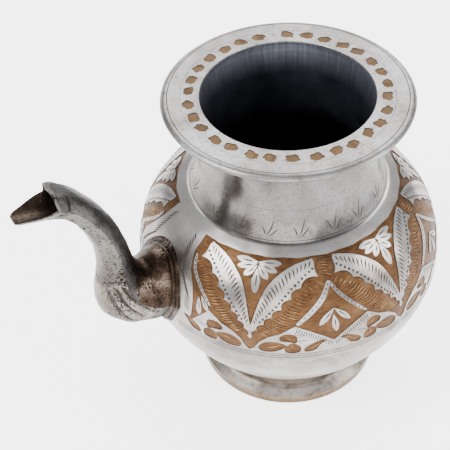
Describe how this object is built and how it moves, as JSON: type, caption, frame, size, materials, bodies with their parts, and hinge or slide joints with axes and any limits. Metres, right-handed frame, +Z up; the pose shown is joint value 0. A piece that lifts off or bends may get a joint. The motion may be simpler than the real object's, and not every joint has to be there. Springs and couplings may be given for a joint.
{
  "type": "spouted brass kalash pot",
  "caption": "Round tinned brass water pot with a wide flat rim, flared neck, engraved belly, ring foot and a hollow bird-shaped pouring spout.",
  "frame": {"origin": "centre of the foot ring's resting face, on the axis of the pot", "axes": "+Z up along the pot's axis; +X from the axis towards the tip of the spout"},
  "size_m": [0.2355, 0.168, 0.188],
  "materials": {
    "tinned_brass": "hot-tinned, wiped bright",
    "engraved_tinned_brass": "tinned, cut through to bare brass",
    "worn_tinned_brass": "tinned, worn to brass on the edges",
    "cast_spout_brass": "tinned sand casting, pitted",
    "braze_metal": "brazing brass and solder, darkened"
  },
  "bodies": {
    "root": {"mouth_rim_flange": "tinned_brass", "neck_collar": "tinned_brass", "neck_braze_seam": "braze_metal", "upper_body_shell": "engraved_tinned_brass", "belly_braze_seam": "braze_metal", "lower_body_bowl": "tinned_brass", "foot_ring": "worn_tinned_brass", "foot_braze_seam": "braze_metal", "bird_spout_casting": "cast_spout_brass", "spout_root_collar": "cast_spout_brass", "spout_solder_bead": "braze_metal"}
  },
  "joints": []
}
